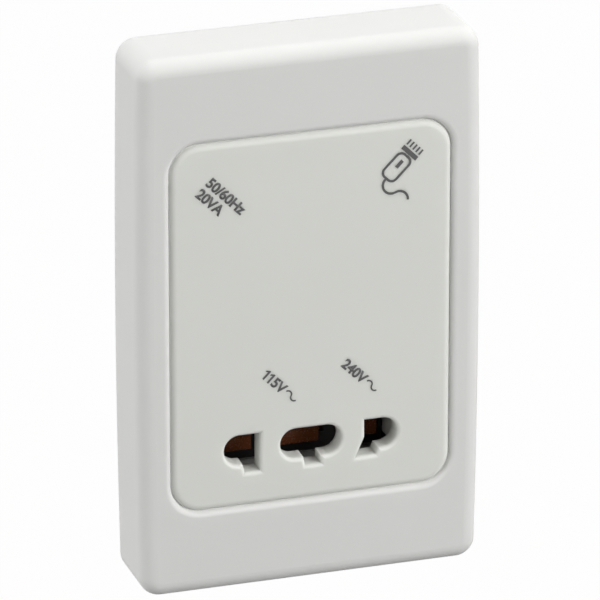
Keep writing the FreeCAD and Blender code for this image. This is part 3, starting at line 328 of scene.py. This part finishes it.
# %% Node group: drawn metal
drawn_metal, given, result = start_group(
    "DrawnMetal",
    {"Bright": (0.8, 0.8, 0.8, 1), "Dull": (0.5, 0.5, 0.5, 1), "Streak": 900.0, "Stretch": 0.06,
     "Roughness Low": 0.2, "Roughness High": 0.45},
    {"Color": "Color", "Roughness": "Float", "Height": "Float"})
where = place(drawn_metal, "TexCoord").outputs["Object"]
pull = place(drawn_metal, "CombineXYZ", {"X": 1.0, "Y": given["Stretch"], "Z": 1.0})
pulled = place(drawn_metal, "VectorMath", {0: where, 1: pull.outputs[0]}, operation="MULTIPLY")
streak = place(drawn_metal, "TexNoise",
               {"Vector": pulled.outputs[0], "Scale": given["Streak"], "Detail": 4.0})
patch = place(drawn_metal, "TexNoise", {"Vector": where, "Scale": 160.0, "Detail": 3.0})
mixed = place(drawn_metal, "Math", {0: streak.outputs[0], 1: patch.outputs[0]}, operation="MULTIPLY")
spread = place(drawn_metal, "MapRange", {"Value": mixed.outputs[0], "From Min": 0.12, "From Max": 0.4})
tint = place(drawn_metal, "Mix", {0: spread.outputs[0], 6: given["Bright"], 7: given["Dull"]},
             data_type="RGBA")
rough = place(drawn_metal, "MapRange", {
    "Value": spread.outputs[0], "To Min": given["Roughness Low"], "To Max": given["Roughness High"]})
give(drawn_metal, result, {"Color": tint.outputs[2], "Roughness": rough.outputs[0], "Height": streak.outputs[0]})
print("group", drawn_metal.name, "gives", [s.name for s in result if s.name])

# %% Metals


def metal(name, bright, dull, roughness, relief):
    """A drawn or plated metal."""
    made = bpy.data.materials.new(name)
    made.use_nodes = True
    tree = made.node_tree
    shader = tree.nodes["Principled BSDF"]
    shader.inputs["Metallic"].default_value = 1.0
    skin = place(tree, "Group", node_tree=drawn_metal)
    skin.inputs["Bright"].default_value = srgb(*bright)
    skin.inputs["Dull"].default_value = srgb(*dull)
    skin.inputs["Roughness Low"].default_value = roughness[0]
    skin.inputs["Roughness High"].default_value = roughness[1]
    soft = place(tree, "Bevel", {"Radius": 0.1 * MM}, samples=4)
    bump = place(tree, "Bump", {"Height": skin.outputs["Height"], "Strength": relief, "Distance": 0.05 * MM,
                                "Normal": soft.outputs[0]})
    tree.links.new(skin.outputs["Color"], shader.inputs["Base Color"])
    tree.links.new(skin.outputs["Roughness"], shader.inputs["Roughness"])
    tree.links.new(bump.outputs[0], shader.inputs["Normal"])
    return made


spring_finish = metal("spring_wire", (178, 180, 184), (120, 120, 124), (0.18, 0.35), 0.1)
brass_finish = metal("contact_strip", (214, 176, 98), (164, 122, 62), (0.2, 0.4), 0.15)
screw_finish = metal("zinc_plate", (206, 208, 206), (160, 162, 158), (0.22, 0.42), 0.15)
clamp_finish = metal("clamp_plate", (190, 192, 190), (138, 140, 138), (0.28, 0.5), 0.25)
print("metals ready")

# %% [markdown]
# ## Core and windings
#
# The transformer's core is a stack of thin varnished sheets, seen edge on from the sides, and its
# windings are hundreds of turns of enamelled wire. Modelling each sheet and turn would cost
# thousands of faces for something that hides in a box. Bands across the right axis, used as both
# colour and bump, read the same: across Y for the sheets, and up Z for the turns. The colour is
# also darkened towards each band's edge: painted shade in the creases between sheets and turns.

# %% Core sheets and wire turns


def banded(name, axis, pitch, light, dark, metallic, roughness, relief):
    """Rounded bands along one axis, each band a little different in tone, with painted shade where they meet."""
    made = bpy.data.materials.new(name)
    made.use_nodes = True
    tree = made.node_tree
    shader = tree.nodes["Principled BSDF"]
    shader.inputs["Metallic"].default_value = metallic
    where = place(tree, "TexCoord").outputs["Object"]
    along = place(tree, "SeparateXYZ", {0: where}).outputs[axis]
    turns = place(tree, "Math", {0: along, 1: 1 / (pitch * MM)}, operation="MULTIPLY")
    across_band = place(tree, "Math", {0: turns.outputs[0], 1: math.pi}, operation="MULTIPLY")
    wave = place(tree, "Math", {0: across_band.outputs[0]}, operation="SINE")
    crown = place(tree, "Math", {0: wave.outputs[0]}, operation="ABSOLUTE")
    index = place(tree, "Math", {0: turns.outputs[0]}, operation="FLOOR")
    chance = place(tree, "TexWhiteNoise", {"W": index.outputs[0]}, noise_dimensions="1D")
    blotch = place(tree, "TexNoise", {"Vector": where, "Scale": 300.0, "Detail": 3.0})
    tone = place(tree, "Math", {0: chance.outputs[0], 1: blotch.outputs[0]}, operation="MULTIPLY")
    tint = place(tree, "Mix", {0: tone.outputs[0], 6: srgb(*light), 7: srgb(*dark)}, data_type="RGBA")
    # Painted shade: the colour is multiplied down to 0.35 in the creases where bands meet
    painted_crease_shade = place(tree, "MapRange", {"Value": crown.outputs[0], "From Max": 0.45, "To Min": 0.35})
    shaded = place(tree, "Mix", {0: 1.0, 6: tint.outputs[2], 7: painted_crease_shade.outputs[0]},
                   data_type="RGBA", blend_type="MULTIPLY")
    rough = place(tree, "MapRange", {
        "Value": blotch.outputs[0], "To Min": roughness[0], "To Max": roughness[1]})
    bump = place(tree, "Bump", {"Height": crown.outputs[0], "Strength": relief, "Distance": pitch * MM / 2})
    tree.links.new(shaded.outputs[2], shader.inputs["Base Color"])
    tree.links.new(rough.outputs[0], shader.inputs["Roughness"])
    tree.links.new(bump.outputs[0], shader.inputs["Normal"])
    return made


core_finish = banded("core_sheets", "Y", 0.5, (128, 126, 124), (74, 72, 72), 0.8, (0.35, 0.6), 0.35)
winding_finish = banded("wire_turns", "Z", 0.45, (198, 112, 58), (150, 74, 34), 0.85, (0.2, 0.4), 0.7)
print("core and winding finishes ready")

# %% [markdown]
# ## Dress the CAD pieces
#
# The CAD meshes already have smooth rounds and true edges, so they stay as they are. Each one has
# a single material slot, and dressing a piece is putting the new finish into that slot.

# %% Put each finish on its pieces
FINISHES = {
    cover_finish: ["cover_surround"],
    panel_finish: ["front_panel"],
    grid_finish: ["grid_plate"],
    housing_finish: ["rear_housing"],
    shutter_finish: ["pin_shutter"],
    carrier_finish: ["contact_carrier"],
    bobbin_finish: ["coil_bobbin"],
    cutout_finish: ["thermal_cutout"],
    spring_finish: ["shutter_spring"],
    brass_finish: ["contact_115v", "contact_common", "contact_240v", "terminal_active", "terminal_neutral"],
    screw_finish: ["carrier_screws", "housing_screws", "clamp_screws", "terminal_screws"],
    clamp_finish: ["core_clamp"],
    core_finish: ["core_e_stack", "core_i_stack"],
    winding_finish: ["primary_winding", "secondary_winding"],
}
for finish, dressed in FINISHES.items():
    for node in dressed:
        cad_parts[node].material_slots[0].material = finish
bare = set(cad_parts) - {node for dressed in FINISHES.values() for node in dressed}
print("pieces without a finish:", sorted(bare))

# %% [markdown]
# ## Screw heads
#
# The CAD screws are plain pins with flat heads. Real ones are cold headed: a punch domes the head
# and sinks a cross recess in the same blow. A profile spun about the screw's axis gives the dome
# and the shank, and a tapered bar, cut out twice with a quarter turn between, gives the recess.
# One screw is made for each size, copied to its places, and the group stands for the CAD node.

# %% Cross-recess screws
TURN_STEPS = 32
WELD = 0.0001


def part_of(drawing, name):
    """A mesh from a finished drawing, smooth except at its real edges."""
    bmesh.ops.recalc_face_normals(drawing, faces=drawing.faces)
    mesh = bpy.data.meshes.new(name)
    drawing.to_mesh(mesh)
    drawing.free()
    mesh.shade_smooth()
    mesh.set_sharp_from_angle(angle=math.radians(35))
    return mesh


def pan_screw(head, height, shank, length):
    """A screw along Y with its seat at the origin, in millimetres, before the recess is cut."""
    dome = [(math.cos(a) * head * 0.55 + head * 0.45, math.sin(a) * height * 0.6 + height * 0.4)
            for a in [math.radians(15 * step) for step in range(7)]]
    profile = [(0, -length), (shank * 0.7, -length), (shank, -length + shank * 0.5), (shank, 0), (head, 0),
               *dome, (0, height)]
    turned = bmesh.new()
    points = [turned.verts.new((radius, y, 0)) for radius, y in profile]
    edges = [turned.edges.new(pair) for pair in zip(points, points[1:])]
    bmesh.ops.spin(turned, geom=[*points, *edges], cent=(0, 0, 0), axis=(0, 1, 0), angle=math.tau,
                   steps=TURN_STEPS, use_merge=True)
    bmesh.ops.remove_doubles(turned, verts=turned.verts, dist=WELD)
    return part_of(turned, "screw")


def recess_bar(head, height):
    """One arm of the cross: a bar that narrows towards its foot."""
    bar_shape = bmesh.new()
    bmesh.ops.create_cube(bar_shape, size=1)
    bmesh.ops.scale(bar_shape, verts=bar_shape.verts, vec=(head * 1.15, height * 1.2, head * 0.24))
    bmesh.ops.translate(bar_shape, verts=bar_shape.verts, vec=(0, height, 0))
    foot = [v for v in bar_shape.verts if v.co.y < height]
    bmesh.ops.scale(bar_shape, verts=foot, vec=(0.5, 1, 0.7))
    return part_of(bar_shape, "recess")


def with_recess(mesh, arm):
    """The screw with the bar cut out of it twice, a quarter turn apart."""
    blank = bpy.data.objects.new("blank", mesh)
    arms = [bpy.data.objects.new("arm", arm.copy()) for quarter in range(2)]
    arms[1].data.transform(Matrix.Rotation(math.radians(90), 4, "Y"))
    for item in (blank, *arms):
        bpy.context.scene.collection.objects.link(item)
    for item in arms:
        cutter = blank.modifiers.new("recess", "BOOLEAN")
        cutter.operation = "DIFFERENCE"
        cutter.solver = "EXACT"
        cutter.object = item
    bpy.context.view_layer.update()
    done = bpy.data.meshes.new_from_object(blank.evaluated_get(bpy.context.evaluated_depsgraph_get()))
    for item in (blank, *arms):
        bpy.data.objects.remove(item)
    cut = bmesh.new()
    cut.from_mesh(done)
    bmesh.ops.remove_doubles(cut, verts=cut.verts, dist=WELD)
    bmesh.ops.dissolve_degenerate(cut, edges=cut.edges, dist=WELD)
    bmesh.ops.triangulate(cut, faces=[f for f in cut.faces if len(f.verts) > 4], ngon_method="BEAUTY")
    cut.to_mesh(done)
    cut.free()
    return done


# Head radius, head height and shank radius in millimetres, and whether the head faces the back
SCREWS = {"housing_screws": (2.4, 1.8, 1.2, True),
          "carrier_screws": (1.8, 0.9, 0.9, True),
          "clamp_screws": (1.8, 0.9, 0.9, False)}
for node, (head, height, shank, rear) in SCREWS.items():
    low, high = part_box(node)
    length = (high.y - low.y) / MM - height
    model = with_recess(pan_screw(head, height, shank, length), recess_bar(head, height))
    seat = high.y - height * MM if rear else low.y + height * MM
    facing = Matrix.Rotation(0 if rear else math.pi, 4, "Z") @ Matrix.Scale(MM, 4)
    rows = {round(low.z + head * MM, 6), round(high.z - head * MM, 6)}
    group = bmesh.new()
    for x in (low.x + head * MM, high.x - head * MM):
        for z in sorted(rows):
            copy = model.copy()
            copy.transform(Matrix.Translation((x, seat, z)) @ facing)
            group.from_mesh(copy)
            bpy.data.meshes.remove(copy)
    screws = bpy.data.objects.new(node + "_cross", part_of(group, node + "_cross"))
    screws.data.materials.append(screw_finish)
    bpy.context.scene.collection.objects.link(screws)
    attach(screws, "socket")
    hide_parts(node)
    print(screws.name, len(screws.data.polygons), "faces")

# %% [markdown]
# ## The spring
#
# A spring is wire wound on a mandrel. The CAD spring is stiff, and the shutter would run into it as
# it rises. So the coil is drawn again: a ring of points, the wire's section, is spun about the
# spring's axis and climbs at each step.

# %% Wind the spring
WIRE = 0.5 * MM
WIRE_SIDES = 10
COILS = 5
STEPS = COILS * 28
low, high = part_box("shutter_spring")
middle = (low + high) / 2
coil_length = high.z - low.z
coil = bmesh.new()
section = bmesh.ops.create_circle(coil, segments=WIRE_SIDES, radius=WIRE / 2)["verts"]
bmesh.ops.rotate(coil, verts=section, cent=(0, 0, 0), matrix=Matrix.Rotation(math.radians(90), 3, "X"))
bmesh.ops.translate(coil, verts=section, vec=((high.x - low.x - WIRE) / 2, 0, WIRE / 2))
bmesh.ops.spin(coil, geom=[*coil.verts, *coil.edges], cent=(0, 0, 0), axis=(0, 0, 1),
               angle=COILS * math.tau, steps=STEPS, use_merge=False,
               dvec=(0, 0, (coil_length - WIRE) / STEPS))
bmesh.ops.holes_fill(coil, edges=coil.edges, sides=0)
bmesh.ops.translate(coil, verts=coil.verts, vec=(middle.x, middle.y, low.z))
spring = bpy.data.objects.new("shutter_spring_coil", part_of(coil, "shutter_spring_coil"))
spring.data.materials.append(spring_finish)
bpy.context.scene.collection.objects.link(spring)
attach(spring, "socket")
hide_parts("shutter_spring")
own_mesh(spring)

# %% [markdown]
# ## Ink
#
# The panel carries small grey marks, pad printed and turned by 45 degrees. Print could be a stencil
# in the panel's material, but a film of real mesh stays sharp at any distance. Each mark starts as
# a flat drawing in millimetres. Letters come from Blender's own font, as a text curve that is made
# a mesh; bars and arcs are drawn beside them. Then the drawing gets the ink's thickness and is
# laid on the panel, with its back a hair below the face.

# %% Drawing tools
INK = 0.02
TURN = math.radians(-45)
CAP_SHARE = 0.729
WEIGHT = 0.032
panel_low, panel_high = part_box("front_panel")
ink_finish = plastic("pad_print_ink", (70, 70, 70), (82, 82, 81), (0.45, 0.6), 0.3, 0.1, 0.01)


def bar(drawing, x, y, width, height):
    """A filled bar about a middle point."""
    made = bmesh.ops.create_grid(drawing, x_segments=1, y_segments=1, size=0.5)["verts"]
    bmesh.ops.scale(drawing, verts=made, vec=(width, height, 1))
    bmesh.ops.translate(drawing, verts=made, vec=(x, y, 0))
    return made


def arc(drawing, x, y, radius, stroke, start, sweep):
    """A stroke along an arc: a short edge across the stroke, spun round the arc's centre."""
    heading = Vector((math.cos(math.radians(start)), math.sin(math.radians(start)), 0))
    middle = Vector((x, y, 0))
    ends = [drawing.verts.new(middle + heading * (radius + side * stroke / 2)) for side in (-1, 1)]
    edge = drawing.edges.new(ends)
    bmesh.ops.spin(drawing, geom=[*ends, edge], cent=(x, y, 0), axis=(0, 0, 1), angle=math.radians(sweep),
                   steps=abs(sweep) // 10, use_merge=False)


def letters(words, cap):
    """A drawing of letters with a given capital height."""
    text = bpy.data.curves.new("letters", "FONT")
    text.body = words
    text.size = cap / CAP_SHARE
    text.offset = WEIGHT * text.size
    carrier = bpy.data.objects.new("letters", text)
    bpy.context.scene.collection.objects.link(carrier)
    bpy.context.view_layer.update()
    mesh = bpy.data.meshes.new_from_object(carrier.evaluated_get(bpy.context.evaluated_depsgraph_get()))
    bpy.data.objects.remove(carrier)
    bpy.data.curves.remove(text)
    drawing = bmesh.new()
    drawing.from_mesh(mesh)
    bpy.data.meshes.remove(mesh)
    return drawing


def centre(drawing):
    """Move a drawing's middle to the origin. Gives half its width."""
    xs = [v.co.x for v in drawing.verts]
    ys = [v.co.y for v in drawing.verts]
    bmesh.ops.translate(drawing, verts=drawing.verts,
                        vec=(-(min(xs) + max(xs)) / 2, -(min(ys) + max(ys)) / 2, 0))
    return (max(xs) - min(xs)) / 2


def printed(drawing, name, x, z):
    """Thicken a drawing, lay its middle on the panel and let it ride with the socket."""
    centre(drawing)
    bmesh.ops.remove_doubles(drawing, verts=drawing.verts, dist=WELD)
    bmesh.ops.translate(drawing, verts=drawing.verts, vec=(0, 0, -INK))
    film = bmesh.ops.extrude_face_region(drawing, geom=drawing.faces[:])
    lifted = [v for v in film["geom"] if isinstance(v, bmesh.types.BMVert)]
    bmesh.ops.translate(drawing, verts=lifted, vec=(0, 0, 2 * INK))
    on_panel = Matrix.Translation((x * MM, panel_low.y, z * MM)) @ Matrix.Rotation(math.radians(90), 4, "X")
    bmesh.ops.transform(drawing, verts=drawing.verts,
                        matrix=on_panel @ Matrix.Rotation(TURN, 4, "Z") @ Matrix.Scale(MM, 4))
    bmesh.ops.recalc_face_normals(drawing, faces=drawing.faces)
    mesh = bpy.data.meshes.new(name)
    drawing.to_mesh(mesh)
    drawing.free()
    mesh.materials.append(ink_finish)
    ink = bpy.data.objects.new(name, mesh)
    bpy.context.scene.collection.objects.link(ink)
    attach(ink, "socket")
    print(name, len(mesh.polygons), "faces")


# %% [markdown]
# ## Words and voltages
#
# Each voltage ends in the sign for alternating current. The font's own sign is small, so it is drawn
# as a wave: an arc over, then an arc under, which meet where both slope the same way. The font's
# figure 1 is a bare stroke, so that one is drawn too, as one face with a flag.

# %% Print the words
CAP = 2.2
WAVE_STROKE = 0.32
WAVE_RADIUS = 0.78
WAVE_JOIN = 15
WAVE_END = 160
ONE_STROKE = 0.42
ONE_PITCH = 1.3
ONE_GAP = 0.7
FLAG = 0.5
FLAG_TIP = 0.34
FLAG_ROOT = 0.5


def figure_one(drawing, x, foot, top):
    """A figure 1 with a flag at the left of its stem."""
    stem, tip = x - ONE_STROKE / 2, x - ONE_STROKE / 2 - FLAG
    outline = [(stem, foot), (stem + ONE_STROKE, foot), (stem + ONE_STROKE, top), (x - ONE_STROKE / 4, top),
               (tip, top - FLAG * 0.8), (tip, top - FLAG * 0.8 - FLAG_TIP), (stem, top - FLAG_ROOT)]
    drawing.faces.new([drawing.verts.new((*point, 0)) for point in outline])


def voltage(words, name, x, z, cap):
    """A voltage with a wave after it."""
    by_font = words.lstrip("1")
    drawing = letters(by_font, cap)
    left = min(v.co.x for v in drawing.verts)
    heights = [v.co.y for v in drawing.verts]
    for index in range(len(words) - len(by_font)):
        figure_one(drawing, left - ONE_GAP - index * ONE_PITCH, min(heights), max(heights))
    first = centre(drawing) + WAVE_RADIUS + WAVE_STROKE
    rise = WAVE_RADIUS * math.sin(math.radians(WAVE_JOIN))
    second = first + 2 * WAVE_RADIUS * math.cos(math.radians(WAVE_JOIN))
    arc(drawing, first, -rise, WAVE_RADIUS, WAVE_STROKE, WAVE_END, WAVE_JOIN - WAVE_END)
    arc(drawing, second, rise, WAVE_RADIUS, WAVE_STROKE, WAVE_JOIN + 180, WAVE_END - WAVE_JOIN)
    printed(drawing, name, x, z)


printed(letters("50/60Hz\n20VA", CAP), "print_rating", -19.0, 27.1)
voltage("115V", "print_115v", -6.65, -14.4, CAP)
voltage("240V", "print_240v", 10.4, -14.2, CAP)

# %% [markdown]
# ## The shaver sign
#
# The sign at the upper right says what the outlet is for. This one is a plain shaver: a rounded
# body, a cutter head, a few hairs and a curl of cord. Flat faces are enough: the body is a bar whose
# corners are bevelled and whose face is inset to leave a ring, and the cord is two arcs that turn
# opposite ways.

# %% Draw the sign
SIGN_SCALE = 1.1
STROKE = 0.46
CORD = 1.7
CORD_TURN = 160
BODY_MIDDLE = 1.6
BODY_WIDTH = 3.6
BODY_HEIGHT = 6.0
BODY_ROUND = 1.3
HAIR_PITCH = 0.8
sign = bmesh.new()
body = bar(sign, 0, BODY_MIDDLE, BODY_WIDTH, BODY_HEIGHT)
bmesh.ops.bevel(sign, geom=body, offset=BODY_ROUND, segments=6, profile=0.5, affect="VERTICES", material=-1)
ring = bmesh.ops.inset_region(sign, faces=sign.faces[:], thickness=STROKE, use_boundary=True,
                              use_even_offset=True)
inner = [f for f in sign.faces if f not in ring["faces"]]
bmesh.ops.delete(sign, geom=inner, context="FACES_ONLY")
bar(sign, 0, 5.2, 3.8, 0.9)
for step in range(-2, 3):
    bar(sign, step * HAIR_PITCH, 6.6, 0.34, 1.2)
bar(sign, 0, 2.4, 0.7, 1.7)
foot = BODY_MIDDLE - BODY_HEIGHT / 2
arc(sign, CORD, foot, CORD, STROKE, 180, CORD_TURN)
turn_back = math.radians(180 + CORD_TURN)
arc(sign, CORD + 2 * CORD * math.cos(turn_back), foot + 2 * CORD * math.sin(turn_back), CORD, STROKE,
    CORD_TURN, -120)
bmesh.ops.scale(sign, verts=sign.verts, vec=(SIGN_SCALE, SIGN_SCALE, 1))
printed(sign, "print_shaver_sign", 19.85, 28.7)
